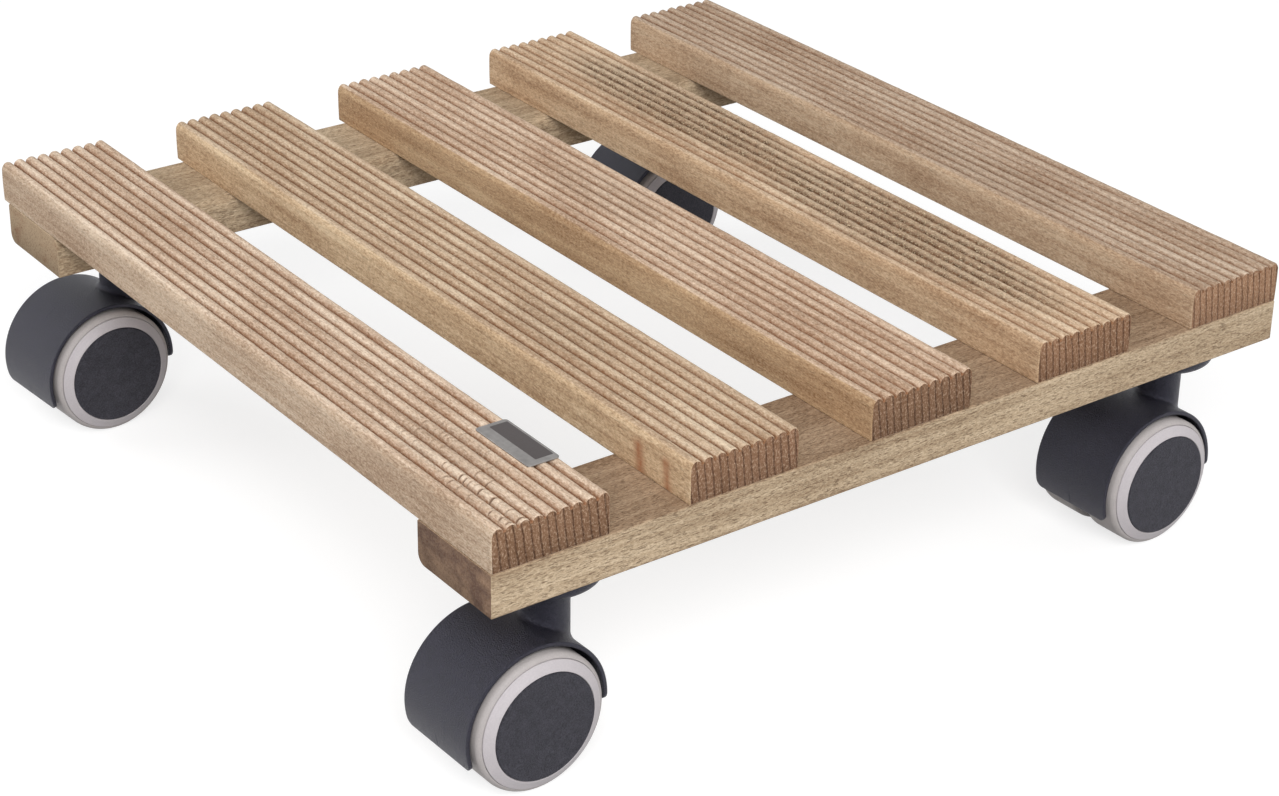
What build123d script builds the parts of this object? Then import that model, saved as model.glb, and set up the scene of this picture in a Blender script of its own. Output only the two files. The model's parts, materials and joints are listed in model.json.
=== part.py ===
"""Square wooden plant caddy: five reeded slats on two battens, carried by four hooded
twin-wheel swivel castors.

Millimetres. +Z is up with the floor at Z = 0, +X runs along the battens from left to right,
and +Y runs along the slats from front to back. The origin lies on the floor under the middle
of the whole outline. Each castor has its own axes: +X from the swivel axis against the
trail, +Y along the axle.
"""

from build123d import *
import os
from math import cos, radians, sin, sqrt

os.makedirs("parts", exist_ok=True)

# Slats
slat_count = 5
slat_length = 350.0
slat_width = 45.0
slat_height = 16.0
ridge_count = 9
groove_floor = 0.6
groove_depth = 1.9
ridge_round = 1.8
shoulder_round = 2.7
slat_arris = 0.5

# Battens
batten_length = 350.0
batten_width = 43.0
batten_height = 16.0
batten_round = 4.0
batten_arris = 0.6
front_batten_inset = 0.0
back_batten_inset = 4.0

# Countersunk wood screws
screw_diameter = 3.5
screw_head_diameter = 7.0
screw_head_height = 2.0
screw_head_sink = 0.3
screw_tip = 4.0
screw_recess_width = 0.9
screw_recess_length = 4.0
screw_recess_depth = 1.2
pilot_clearance = 0.05
slat_screw_length = 27.0
slat_screw_across = 12.0
slat_screw_along = 7.0

# Plain metal label near the front end of the first slat
label_length = 31.5
label_width = 12.5
label_thickness = 0.4
label_corner = 1.0
label_from_front = 42.25
label_from_middle = 15.4

# Castors: overall size and place
castor_height = 71.5
castor_inset = 35.0
castor_trail = 16.0
wheel_diameter = 50.0

# Direction of each castor about its swivel axis, in degrees, at rest
castor_turn = {"front_left": 1.5, "front_right": 1.0, "back_left": 4.0, "back_right": 0.0}

# Round screw plate over each castor
plate_diameter = 38.0
plate_height = 5.5
plate_round = 3.0
plate_screw_circle = 24.6
plate_screw_count = 4
plate_screw_length = 17.0

# Swivel pin, its grip ring and the washer above the neck
pin_diameter = 8.0
pin_head_diameter = 14.0
pin_head_height = 2.0
pin_head_clearance = 0.1
pin_fit = 0.02
pin_end_gap = 0.6
pin_chamfer = 0.6
swivel_clearance = 0.06
grip_ring_diameter = 9.2
grip_ring_thickness = 1.0
grip_ring_opening = 60.0
grip_ring_clearance = 0.1
grip_groove_diameter = 6.6
grip_groove_height = 1.2
grip_groove_rise = 2.4
washer_diameter = 18.5
washer_thickness = 1.8
washer_gap = 0.2

# Hooded housing
hood_gap = 1.4
hood_wall = 1.6
hood_width = 36.0
hood_front_angle = -6.0
hood_rear_angle = 200.0
hood_corner = 3.0
seam_width = 0.3
seam_depth = 0.2
web_thickness = 6.0
axle_boss_diameter = 15.0
neck_diameter = 16.0
neck_floor = 1.5

# Axle
axle_diameter = 6.0
axle_length = 40.6
axle_chamfer = 0.4
axle_press_fit = 0.01
axle_clearance = 0.06
snap_groove_diameter = 5.2
snap_groove_start = 16.4
snap_groove_width = 1.6
snap_side_gap = 0.2

# Wheels: widths are counted along the axle from the middle of the castor
wheel_set_width = 45.0
wheel_side_gap = 0.3
hub_diameter = 13.0
hub_outer = 19.3
disc_inner = 10.5
disc_outer = 13.0
rim_wall = 1.8
tread_thickness = 2.4
tread_inner = 4.3
tread_outer = 19.0
tread_arris = 0.8
seam_ring_drop = 1.6
seam_ring_outer = 20.3
face_ring_width = 3.9
cap_thickness = 1.6
cap_edge_round = 0.6
cap_proud = 0.3
cap_gap = 0.1
cap_skirt_step = 1.2
cap_skirt_wall = 1.3
cap_skirt_depth = 3.4

# Heights and spacings worked out from the sizes above
slat_pitch = (batten_length - slat_width) / (slat_count - 1)
ridge_pitch = slat_width / ridge_count
deck_underside = castor_height
slat_underside = deck_underside + batten_height
plate_underside = deck_underside - plate_height
washer_top = plate_underside - washer_gap
neck_top = washer_top - washer_thickness
wheel_radius = wheel_diameter / 2
rim_radius = wheel_radius - tread_thickness
seam_ring_radius = wheel_radius - seam_ring_drop
cap_radius = seam_ring_radius - face_ring_width
cap_skirt_radius = cap_radius - cap_skirt_step
hood_inside = wheel_radius + hood_gap
hood_radius = hood_inside + hood_wall
axle_height = wheel_radius
pin_bore_rear = castor_trail - pin_diameter / 2
pin_bore_floor = axle_height + sqrt(hood_inside**2 - pin_bore_rear**2) + neck_floor
pin_foot = pin_bore_floor + pin_end_gap
ring_foot = pin_foot + grip_groove_rise
cap_face = wheel_set_width / 2
cap_back = cap_face - cap_thickness

# Middle of the battens, measured from the middle of the deck
front_batten_y = -slat_length / 2 + front_batten_inset + batten_width / 2
back_batten_y = slat_length / 2 - back_batten_inset - batten_width / 2
castor_x = batten_length / 2 - castor_inset
castor_spots = {
    "front_left": (-castor_x, front_batten_y),
    "front_right": (castor_x, front_batten_y),
    "back_left": (-castor_x, back_batten_y),
    "back_right": (castor_x, back_batten_y),
}


def castor_outline(spot, turn):
    """Lowest and highest X and Y of one castor seen from above, from the deck's middle."""
    along, across = cos(radians(turn)), sin(radians(turn))
    middle_x = spot[0] - castor_trail * along
    middle_y = spot[1] - castor_trail * across
    rectangles = [
        (hood_radius, hood_width / 2),
        (wheel_radius, tread_outer),
        (cap_radius, cap_face),
    ]
    reach_x = max(a * abs(along) + b * abs(across) for a, b in rectangles)
    reach_y = max(a * abs(across) + b * abs(along) for a, b in rectangles)
    return middle_x - reach_x, middle_x + reach_x, middle_y - reach_y, middle_y + reach_y


outlines = [castor_outline(castor_spots[name], castor_turn[name]) for name in castor_spots]
deck_outline = (-batten_length / 2, batten_length / 2, -slat_length / 2, slat_length / 2)
outlines.append(deck_outline)
deck_x = -(min(o[0] for o in outlines) + max(o[1] for o in outlines)) / 2
deck_y = -(min(o[2] for o in outlines) + max(o[3] for o in outlines)) / 2


def save(part, node):
    """Labels a finished piece and writes it under its node name."""
    part.label = node
    export_step(part, f"parts/{node}.step")


def slat_middles():
    """Middle of each slat along the battens."""
    first = deck_x - (slat_count - 1) * slat_pitch / 2
    return [first + number * slat_pitch for number in range(slat_count)]


def slat_screw_spots(slat_x, batten_y):
    """Two screws set diagonally where a slat crosses a batten."""
    return [
        (slat_x - slat_screw_across, batten_y + slat_screw_along),
        (slat_x + slat_screw_across, batten_y - slat_screw_along),
    ]


def plate_screw_spots(spot):
    """Screws around a castor's swivel axis, halfway between the row's axes."""
    circle = PolarLocations(plate_screw_circle / 2, plate_screw_count, start_angle=45)
    return [(spot[0] + place.position.X, spot[1] + place.position.Y) for place in circle]


def countersunk_screws(spots, head_height, length):
    """Wood screws driven upwards, with the flat of each head at head_height."""
    shank = screw_diameter / 2
    head = screw_head_diameter / 2
    with BuildPart() as screws:
        for x, y in spots:
            with BuildSketch(Plane((x, y, head_height), x_dir=(1, 0, 0), z_dir=(0, -1, 0))):
                with BuildLine():
                    Polyline(
                        (0, 0),
                        (head, 0),
                        (shank, screw_head_height),
                        (shank, length - screw_tip),
                        (0, length),
                        close=True,
                    )
                make_face()
            revolve(axis=Axis((x, y, head_height), (0, 0, 1)))
        with BuildSketch(Plane.XY.offset(head_height)):
            with Locations(*spots):
                Rectangle(screw_recess_length, screw_recess_width)
                Rectangle(screw_recess_width, screw_recess_length)
        extrude(amount=screw_recess_depth, mode=Mode.SUBTRACT)
    return screws.part


def screw_hole_cutters(spots, face_height, length):
    """Pilot holes with their countersinks, as solids to take out of what a screw passes."""
    shank = screw_diameter / 2 + pilot_clearance
    head = screw_head_diameter / 2 + pilot_clearance
    mouth = head + screw_head_sink * (head - shank) / screw_head_height
    with BuildPart(mode=Mode.PRIVATE) as cutters:
        for x, y in spots:
            with BuildSketch(Plane((x, y, face_height), x_dir=(1, 0, 0), z_dir=(0, -1, 0))):
                with BuildLine():
                    Polyline(
                        (0, -screw_head_sink),
                        (mouth + screw_head_sink, -screw_head_sink),
                        (mouth, 0),
                        (shank, screw_head_sink + screw_head_height),
                        (shank, screw_head_sink + length + pilot_clearance),
                        (0, screw_head_sink + length + pilot_clearance),
                        close=True,
                    )
                make_face()
            revolve(axis=Axis((x, y, face_height), (0, 0, 1)))
    return cutters.part


front_y = deck_y + front_batten_y
back_y = deck_y + back_batten_y
deck_screw_spots = [
    spot
    for slat_x in slat_middles()
    for batten_y in (front_y, back_y)
    for spot in slat_screw_spots(slat_x, batten_y)
]
castor_places = {
    name: (deck_x + x, deck_y + y, castor_turn[name]) for name, (x, y) in castor_spots.items()
}
castor_screw_spots = [
    spot for place in castor_places.values() for spot in plate_screw_spots(place)
]
slat_screw_cutters = screw_hole_cutters(deck_screw_spots, deck_underside, slat_screw_length)
plate_screw_cutters = screw_hole_cutters(
    castor_screw_spots, plate_underside, plate_screw_length
)

# Slats, each with its row of rounded ridges on top
for number, slat_x in enumerate(slat_middles(), start=1):
    with BuildPart() as slat:
        slat_end = Plane(
            (slat_x, deck_y - slat_length / 2, slat_underside), x_dir=(1, 0, 0), z_dir=(0, -1, 0)
        )
        with BuildSketch(slat_end) as profile:
            Rectangle(slat_width, slat_height, align=(Align.CENTER, Align.MIN))
            with Locations((0, slat_height)):
                with GridLocations(ridge_pitch, 0, ridge_count - 1, 1):
                    Rectangle(groove_floor, 2 * groove_depth, mode=Mode.SUBTRACT)
            crests = profile.vertices().group_by(Axis.Y)[-1].sort_by(Axis.X)
            fillet(crests[1:-1], radius=ridge_round)
            crests = profile.vertices().group_by(Axis.Y)[-1].sort_by(Axis.X)
            fillet([crests[0], crests[-1]], radius=shoulder_round)
            fillet(profile.vertices().group_by(Axis.Y)[0], radius=slat_arris)
        extrude(amount=-slat_length)
        add(slat_screw_cutters, mode=Mode.SUBTRACT)
    save(slat.part, f"slat_{number}")

# Battens under the slat ends; opposite edges are well rounded and the others just broken
batten_rounds = {
    "front": [batten_arris, batten_round, batten_arris, batten_arris],
    "back": [batten_arris, batten_round, batten_arris, batten_round],
}
batten_corners = [
    (-batten_width / 2, 0),
    (batten_width / 2, 0),
    (batten_width / 2, batten_height),
    (-batten_width / 2, batten_height),
]
for side, batten_y in (("front", front_y), ("back", back_y)):
    batten_end = Plane(
        (deck_x - batten_length / 2, batten_y, deck_underside), x_dir=(0, 1, 0), z_dir=(1, 0, 0)
    )
    with BuildPart() as batten:
        with BuildSketch(batten_end) as profile:
            Rectangle(batten_width, batten_height, align=(Align.CENTER, Align.MIN))
            for corner, radius in zip(batten_corners, batten_rounds[side]):
                fillet(profile.vertices().sort_by_distance(corner)[0], radius=radius)
        extrude(amount=batten_length)
        add(slat_screw_cutters, mode=Mode.SUBTRACT)
        add(plate_screw_cutters, mode=Mode.SUBTRACT)
    save(batten.part, f"batten_{side}")

slat_screw_face = deck_underside + screw_head_sink
save(countersunk_screws(deck_screw_spots, slat_screw_face, slat_screw_length), "slat_screws")

castor_screw_face = plate_underside + screw_head_sink
save(
    countersunk_screws(castor_screw_spots, castor_screw_face, plate_screw_length), "castor_screws"
)

with BuildPart() as label:
    label_x = slat_middles()[0] + label_from_middle
    label_y = deck_y - slat_length / 2 + label_from_front
    with BuildSketch(Plane((label_x, label_y, slat_underside + slat_height))):
        RectangleRounded(label_width, label_length, label_corner)
    extrude(amount=label_thickness)
save(label.part, "label_plate")

# Spring rings round the swivel pins, which the housings hang on when the caddy is lifted
opening_reach = grip_ring_diameter * cos(radians(grip_ring_opening / 2))
opening_half = grip_ring_diameter * sin(radians(grip_ring_opening / 2))
with BuildPart() as grip_rings:
    for x, y, turn in castor_places.values():
        ring_forward = (cos(radians(turn)), sin(radians(turn)), 0)
        with BuildSketch(Plane((x, y, ring_foot), x_dir=ring_forward)):
            Circle(grip_ring_diameter / 2)
            Circle(grip_groove_diameter / 2, mode=Mode.SUBTRACT)
            with BuildLine():
                Polyline(
                    (0, 0), (opening_reach, -opening_half), (opening_reach, opening_half), close=True
                )
            make_face(mode=Mode.SUBTRACT)
        extrude(amount=grip_ring_thickness)
save(grip_rings.part, "grip_rings")


def screw_plate(x, y):
    """Round plate screwed under a batten, with a recess on top for the pin's head."""
    with BuildPart() as plate:
        with BuildSketch(Plane((x, y, plate_underside))):
            Circle(plate_diameter / 2)
            Circle(pin_diameter / 2 + pin_fit, mode=Mode.SUBTRACT)
        extrude(amount=plate_height)
        rim = plate.edges().filter_by(GeomType.CIRCLE).group_by(Axis.Z)[0].sort_by(SortBy.RADIUS)[-1]
        fillet(rim, radius=plate_round)
        with BuildSketch(Plane((x, y, deck_underside))):
            Circle(pin_head_diameter / 2 + pin_head_clearance)
        extrude(amount=-pin_head_height - pin_head_clearance, mode=Mode.SUBTRACT)
        add(plate_screw_cutters, mode=Mode.SUBTRACT)
    return plate.part


def swivel_pin(x, y):
    """Headed steel pin hanging from the plate, grooved near its foot for the grip ring."""
    head_top = deck_underside - pin_head_clearance
    with BuildPart() as pin:
        with BuildSketch(Plane((x, y, pin_foot))):
            Circle(pin_diameter / 2)
        extrude(amount=head_top - pin_foot)
        chamfer(pin.edges().group_by(Axis.Z)[0], length=pin_chamfer)
        with BuildSketch(Plane((x, y, head_top))):
            Circle(pin_head_diameter / 2)
        extrude(amount=-pin_head_height)
        with BuildSketch(Plane((x, y, ring_foot))):
            Circle(pin_diameter)
            Circle(grip_groove_diameter / 2, mode=Mode.SUBTRACT)
        extrude(amount=grip_groove_height, mode=Mode.SUBTRACT)
    return pin.part


def thrust_washer(x, y):
    """Flat thrust washer lying on the neck as a collar, just under the plate."""
    with BuildPart() as washer:
        with BuildSketch(Plane((x, y, neck_top))):
            Circle(washer_diameter / 2)
            Circle(pin_diameter / 2 + swivel_clearance, mode=Mode.SUBTRACT)
        extrude(amount=washer_thickness)
    return washer.part


def housing(x, y, forward, axle_direction):
    """One moulding: the hood over both wheels, the web between them and the neck."""
    axle_middle = Vector(x, y, axle_height) - forward * castor_trail
    side = Plane(axle_middle, x_dir=forward, z_dir=-axle_direction)
    with BuildPart() as moulding:
        with BuildSketch(side):
            with BuildLine():
                arc = CenterArc(
                    (0, 0), hood_radius, hood_front_angle, hood_rear_angle - hood_front_angle
                )
                Polyline(arc @ 1, (0, 0), arc @ 0)
            make_face()
            Circle(axle_boss_diameter / 2)
        extrude(amount=hood_width / 2, both=True)
        with BuildSketch(side):
            Circle(2 * hood_radius)
            Circle(hood_radius - seam_depth, mode=Mode.SUBTRACT)
        extrude(amount=seam_width / 2, both=True, mode=Mode.SUBTRACT)
        with BuildSketch(Plane((x, y, axle_height))):
            Circle(neck_diameter / 2)
        extrude(amount=neck_top - axle_height)
        for outwards in (1, -1):
            with BuildSketch(side.offset(outwards * web_thickness / 2)):
                Circle(hood_inside)
            extrude(amount=outwards * hood_width, mode=Mode.SUBTRACT)
        lip_ends = (
            moulding.edges()
            .filter_by(GeomType.LINE)
            .filter_by(lambda edge: abs(edge.length - hood_wall) < seam_depth / 2)
        )
        fillet(lip_ends, radius=hood_corner)
        with BuildSketch(Plane((x, y, pin_bore_floor))):
            Circle(pin_diameter / 2 + swivel_clearance)
        extrude(amount=neck_top - pin_bore_floor, mode=Mode.SUBTRACT)
        with BuildSketch(Plane((x, y, ring_foot - grip_ring_clearance))):
            Circle(grip_ring_diameter / 2 + grip_ring_clearance)
        extrude(amount=grip_groove_height + grip_ring_clearance, mode=Mode.SUBTRACT)
        with BuildSketch(side):
            Circle(axle_diameter / 2 + axle_press_fit)
        extrude(amount=web_thickness, both=True, mode=Mode.SUBTRACT)
    return moulding.part


def axle(axle_middle, axle_direction):
    """Steel axle pressed through the web, with a groove near each end for the hub's lip."""
    with BuildPart() as rod:
        with BuildSketch(Plane(axle_middle, z_dir=axle_direction)):
            Circle(axle_diameter / 2)
        extrude(amount=axle_length / 2, both=True)
        chamfer(rod.edges().filter_by(GeomType.CIRCLE), length=axle_chamfer)
        for outwards in (axle_direction, -axle_direction):
            groove_start = axle_middle + outwards * snap_groove_start
            with BuildSketch(Plane(groove_start, z_dir=outwards)):
                Circle(axle_diameter)
                Circle(snap_groove_diameter / 2, mode=Mode.SUBTRACT)
            extrude(amount=snap_groove_width, mode=Mode.SUBTRACT)
    return rod.part


def turned(points, half_section, axle_line):
    """Solid of revolution about the axle from (distance along the axle, radius) points."""
    with BuildPart() as solid:
        with BuildSketch(half_section):
            with BuildLine():
                Polyline(*points, close=True)
            make_face()
        revolve(axis=axle_line)
    return solid.part


def wheel_core(half_section, axle_line):
    """Hub, disc and rim in one hard moulding, with a lip in the bore that snaps on the axle."""
    inner_face = web_thickness / 2 + wheel_side_gap
    bore = axle_diameter / 2 + axle_clearance
    seat = cap_radius + cap_gap
    skirt_seat = cap_skirt_radius + cap_gap
    lip = snap_groove_diameter / 2 + axle_clearance
    lip_start = snap_groove_start + snap_side_gap
    lip_end = snap_groove_start + snap_groove_width - snap_side_gap
    points = [
        (inner_face, bore),
        (inner_face, hub_diameter / 2),
        (disc_inner, hub_diameter / 2),
        (disc_inner, rim_radius - rim_wall),
        (tread_inner, rim_radius - rim_wall),
        (tread_inner, rim_radius),
        (tread_outer, rim_radius),
        (tread_outer, seam_ring_radius),
        (seam_ring_outer, seam_ring_radius),
        (cap_face - cap_proud, seat),
        (cap_back, seat),
        (cap_back, skirt_seat),
        (disc_outer, skirt_seat),
        (disc_outer, hub_diameter / 2),
        (hub_outer, hub_diameter / 2),
        (hub_outer, bore),
        (lip_end, bore),
        (lip_end, lip),
        (lip_start, lip),
        (lip_start, bore),
    ]
    return turned(points, half_section, axle_line)


def tread(half_section, axle_line):
    """Soft tyre moulded on the rim, rounded at its outer shoulder."""
    with BuildPart() as tyre:
        with BuildSketch(half_section):
            with BuildLine():
                shoulder = Line((tread_outer, wheel_radius), (tread_inner + tread_arris, wheel_radius))
                Polyline(
                    shoulder @ 1,
                    (tread_inner, wheel_radius - tread_arris),
                    (tread_inner, rim_radius),
                    (tread_outer, rim_radius),
                    (tread_outer, seam_ring_radius),
                    (seam_ring_outer, seam_ring_radius),
                )
                TangentArc(
                    shoulder @ 0,
                    (seam_ring_outer, seam_ring_radius),
                    tangent=(1, 0),
                )
            make_face()
        revolve(axis=axle_line)
    return tyre.part


def wheel_cap(half_section, axle_line):
    """Smooth round cap with a skirt that clips inside the rim."""
    edge = cap_radius
    skirt = cap_skirt_radius
    with BuildPart() as cap:
        with BuildSketch(half_section):
            with BuildLine():
                face = Line((cap_face, 0), (cap_face, edge - cap_edge_round))
                rounding = TangentArc(
                    face @ 1, (cap_face - cap_edge_round, edge), tangent=(0, 1)
                )
                Polyline(
                    rounding @ 1,
                    (cap_back, edge),
                    (cap_back, skirt),
                    (cap_back - cap_skirt_depth, skirt),
                    (cap_back - cap_skirt_depth, skirt - cap_skirt_wall),
                    (cap_back, skirt - cap_skirt_wall),
                    (cap_back, 0),
                    face @ 0,
                )
            make_face()
        revolve(axis=axle_line)
    return cap.part


# Castors: the plate and pin stay with the deck, the rest swivels and the wheels roll
for name, (x, y, turn) in castor_places.items():
    forward = Vector(cos(radians(turn)), sin(radians(turn)), 0)
    axle_direction = Vector(-sin(radians(turn)), cos(radians(turn)), 0)
    axle_middle = Vector(x, y, axle_height) - forward * castor_trail
    axle_line = Axis(axle_middle, axle_direction)
    save(screw_plate(x, y), f"{name}_plate")
    save(swivel_pin(x, y), f"{name}_swivel_pin")
    save(thrust_washer(x, y), f"{name}_washer")
    save(housing(x, y, forward, axle_direction), f"{name}_housing")
    save(axle(axle_middle, axle_direction), f"{name}_axle")
    for letter, outwards in (("a", -axle_direction), ("b", axle_direction)):
        half_section = Plane(axle_middle, x_dir=outwards, z_dir=outwards.cross(Vector(0, 0, 1)))
        save(wheel_core(half_section, axle_line), f"{name}_wheel_{letter}")
        save(tread(half_section, axle_line), f"{name}_tread_{letter}")
        save(wheel_cap(half_section, axle_line), f"{name}_cap_{letter}")
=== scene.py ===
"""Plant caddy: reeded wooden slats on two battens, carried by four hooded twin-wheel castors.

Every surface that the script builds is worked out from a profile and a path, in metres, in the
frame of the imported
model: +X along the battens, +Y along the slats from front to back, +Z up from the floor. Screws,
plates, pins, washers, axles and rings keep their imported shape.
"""

import json

import bmesh
import bpy
import numpy as np
from bpy.props import FloatProperty, FloatVectorProperty, IntProperty, PointerProperty
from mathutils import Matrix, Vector


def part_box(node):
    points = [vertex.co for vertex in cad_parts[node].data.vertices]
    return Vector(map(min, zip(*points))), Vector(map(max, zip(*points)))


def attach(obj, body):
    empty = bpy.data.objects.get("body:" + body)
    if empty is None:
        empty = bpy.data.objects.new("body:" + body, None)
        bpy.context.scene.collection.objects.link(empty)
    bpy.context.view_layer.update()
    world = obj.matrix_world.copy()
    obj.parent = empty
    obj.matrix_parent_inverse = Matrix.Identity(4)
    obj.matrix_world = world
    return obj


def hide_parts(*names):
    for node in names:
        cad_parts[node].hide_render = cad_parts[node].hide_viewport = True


bl_info = {
    "name": "Plant caddy",
    "version": (1, 0, 0),
    "blender": (4, 5, 0),
    "location": "3D View > Sidebar > Caddy",
    "description": "Builds a wooden plant caddy on castors around its packed solids",
    "category": "Object",
}

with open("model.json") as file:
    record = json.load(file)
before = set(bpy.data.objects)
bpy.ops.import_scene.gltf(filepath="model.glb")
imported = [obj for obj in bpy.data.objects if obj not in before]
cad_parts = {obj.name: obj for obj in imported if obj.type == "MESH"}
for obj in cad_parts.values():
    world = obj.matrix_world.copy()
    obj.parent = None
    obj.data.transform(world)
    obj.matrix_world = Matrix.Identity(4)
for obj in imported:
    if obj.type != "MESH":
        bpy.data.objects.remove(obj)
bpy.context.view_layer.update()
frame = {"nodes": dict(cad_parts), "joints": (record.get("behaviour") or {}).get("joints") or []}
MM = 0.001
CASTORS = ("front_left", "front_right", "back_left", "back_right")
SIDES = (("a", -1.0), ("b", 1.0))
UP = np.array([0.0, 0.0, 1.0])

# Torn grain on each slat: middle and reach along it, middle and reach across it, in shares of
# its length and width, then its strength and how much of it is cut through
TORN = {
    1: [(0.06, 0.085, 0.24, 0.17, 1.0, 1.0), (0.15, 0.1, 0.42, 0.3, 0.6, 0.7)],
    2: [(0.3, 0.1, 0.5, 0.3, 0.25, 0.0)],
    3: [(0.55, 0.12, 0.6, 0.3, 0.25, 0.0)],
    4: [(0.3, 0.28, 0.55, 0.5, 1.0, 0.0), (0.7, 0.26, 0.62, 0.42, 0.95, 0.0)],
    5: [(0.35, 0.15, 0.3, 0.3, 0.25, 0.0)],
}

# Rust coloured flecks on the left side of a slat: distance from its front, half width
FLECKS = {2: [(27 * MM, 2.4 * MM), (12 * MM, 1.6 * MM)]}

# How each slat's wood departs from the main colours: on top, on its sides, on its ends
SLAT_TINTS = {
    1: ((1.09, 1.11, 1.16), (0.82, 0.8, 0.77), (0.84, 0.86, 0.87)),
    2: ((0.97, 0.97, 0.94), (1.03, 0.99, 0.9), (0.96, 0.98, 1.01)),
    3: ((1.04, 1.03, 1.05), (0.78, 0.7, 0.56), (0.78, 0.8, 0.82)),
    4: ((1.05, 1.04, 1.0), (0.88, 0.82, 0.75), (1.0, 1.0, 1.0)),
    5: ((0.84, 0.84, 0.86), (0.97, 0.91, 0.82), (1.28, 1.35, 1.4)),
}

# How each batten's top departs from the main colours, which on the front batten is painted shade
# between the slats, and the dark share of its ends
BATTENS = {"front": ((0.7, 0.63, 0.6), 0.52), "back": ((1.0, 1.0, 1.0), 0.1)}

# Place and size of each lamp, in metres
LAMPS = {
    "key": ((-1.04, -1.82, 1.56), 1.4),
    "fill": ((1.6, -1.4, 1.0), 1.8),
    "back": ((-1.5, 1.8, 1.0), 1.4),
}
JOINTS = {joint["name"]: joint for joint in frame["joints"]}


def paint(red, green, blue):
    """Linear colour from the red, green and blue of a colour chart, 0 to 255."""
    chart = np.array([red, green, blue]) / 255
    linear = np.where(chart > 0.04045, ((chart + 0.055) / 1.055) ** 2.4, chart / 12.92)
    return tuple(float(round(value, 4)) for value in linear)


RUST = paint(160, 98, 62)
COOL = (0.8, 0.8, 1.0)
LINE_SPACING = 3.1 * MM


def length(name, description, default):
    """A length that a user can change, given in millimetres."""
    return FloatProperty(
        name=name, description=description, default=default * MM, unit="LENGTH", precision=4
    )


def colour(name, description, default):
    """A colour that a user can change."""
    return FloatVectorProperty(
        name=name, description=description, default=default, subtype="COLOR", min=0, max=1
    )


def power(name, description, default):
    """The power of a lamp that a user can change."""
    return FloatProperty(name=name, description=description, default=default, subtype="POWER")


def angle(name, description, default):
    """An angle that a user can change, given in radians."""
    return FloatProperty(name=name, description=description, default=default, subtype="ANGLE")


class CaddyDeck(bpy.types.PropertyGroup):
    """Sizes of the slats, the battens and the label."""

    ridge_count: IntProperty(name="Ridges", description="Ridges on each slat", default=9, min=1)
    ridge_pitch: length("Ridge pitch", "Distance from one ridge to the next", 5.0)
    groove_depth: length("Groove depth", "Depth of the grooves below the crests", 1.95)
    groove_floor: length("Groove floor", "Width of the bottom of a groove", 0.45)
    fullness: FloatProperty(
        name="Fullness", description="Exponent of a ridge's curve, 2 for an ellipse", default=1.85
    )
    shoulder: length("Shoulder", "Height of the rounding of the upper long edges", 3.2)
    arris: length("Arris", "Radius of the lower long edges of a slat", 0.5)
    belly: length("Belly", "How far the sides of a slat are drawn in at their edges", 0.15)
    waver: length("Waver", "Unevenness of the planed ridges", 0.12)
    tear: length("Tear", "Depth of torn grain", 0.85)
    batten_round: length("Batten round", "Radius of the well rounded batten edges", 4.0)
    batten_arris: length("Batten arris", "Radius of the other batten edges", 0.7)
    screw_across: length("Screw across", "From a slat's middle to its screws, across it", 12.0)
    screw_along: length("Screw along", "From a batten's middle to its screws, along a slat", 7.0)
    screw_mouth: length("Screw mouth", "Radius of the countersinks under the battens", 3.85)
    label_corner: length("Label corner", "Radius of the corners of the label", 1.4)


class CaddyWood(bpy.types.PropertyGroup):
    """Colours of the wood."""

    light: colour("Light", "Pale grain of the slats", paint(228, 207, 182))
    middle: colour("Middle", "Main colour of the slats", paint(203, 177, 151))
    dark: colour("Dark", "Dark grain of the slats", paint(160, 130, 104))
    # Painted shade: the colour laid into the foot of each slat groove, where shade falls
    groove_shade: colour("Stain", "Dirt at the foot of the grooves", paint(136, 92, 60))
    torn: colour("Torn", "Fresh wood where the grain is torn", paint(240, 218, 184))
    end: colour("End", "End grain", paint(144, 108, 83))
    end_line: colour("End line", "Growth lines in the end grain", paint(92, 62, 46))
    batten_light: colour("Batten light", "Pale grain of the battens", paint(214, 193, 164))
    batten_middle: colour("Batten middle", "Main colour of the battens", paint(188, 166, 138))
    blotch: colour("Blotch", "Dark blotches on the batten ends", paint(100, 80, 70))
    batten_dark: colour("Batten dark", "Dark grain of the battens", paint(150, 126, 100))
    front_end: colour("Front end", "Ends of the front batten", paint(150, 124, 103))
    back_end: colour("Back end", "Ends of the back batten", paint(172, 150, 124))
    # Pores and flecks of the wood; the same colour is painted as shade into the torn hollows and
    # the cuts of the slats
    fleck_and_shade: colour("Fleck", "Pores and short flecks", paint(98, 68, 46))


class CaddyCastor(bpy.types.PropertyGroup):
    """Sizes of the castors. Widths are counted along the axle from its middle."""

    hood_radius: length("Hood radius", "Outer radius of the hood", 28.0)
    hood_wall: length("Hood wall", "Thickness of the hood", 1.6)
    hood_half: length("Hood half width", "From the middle to the rim of the hood", 18.0)
    hood_corner: length("Hood corner", "Radius of the corners of the hood", 3.0)
    hood_edge: length("Hood edge", "Radius of the rim's edges", 0.5)
    seam: length("Seam", "Depth of the parting line round the hood", 0.2)
    hood_front: angle("Hood front", "Where the hood starts, from straight ahead", -0.1047)
    hood_rear: angle("Hood rear", "Where the hood ends, from straight ahead", 3.4907)
    web_half: length("Web half width", "Half thickness of the web between the wheels", 3.0)
    boss_radius: length("Boss radius", "Radius round the axle", 7.5)
    neck_radius: length("Neck radius", "Radius of the neck", 8.0)
    neck_flare: length("Neck flare", "Fillet between the neck and the hood", 2.2)
    bore_radius: length("Bore radius", "Radius of the bore for the swivel pin", 4.06)
    wheel_radius: length("Wheel radius", "Radius of the tread", 25.0)
    cap_radius: length("Cap radius", "Radius of the wheel caps", 19.5)


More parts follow.
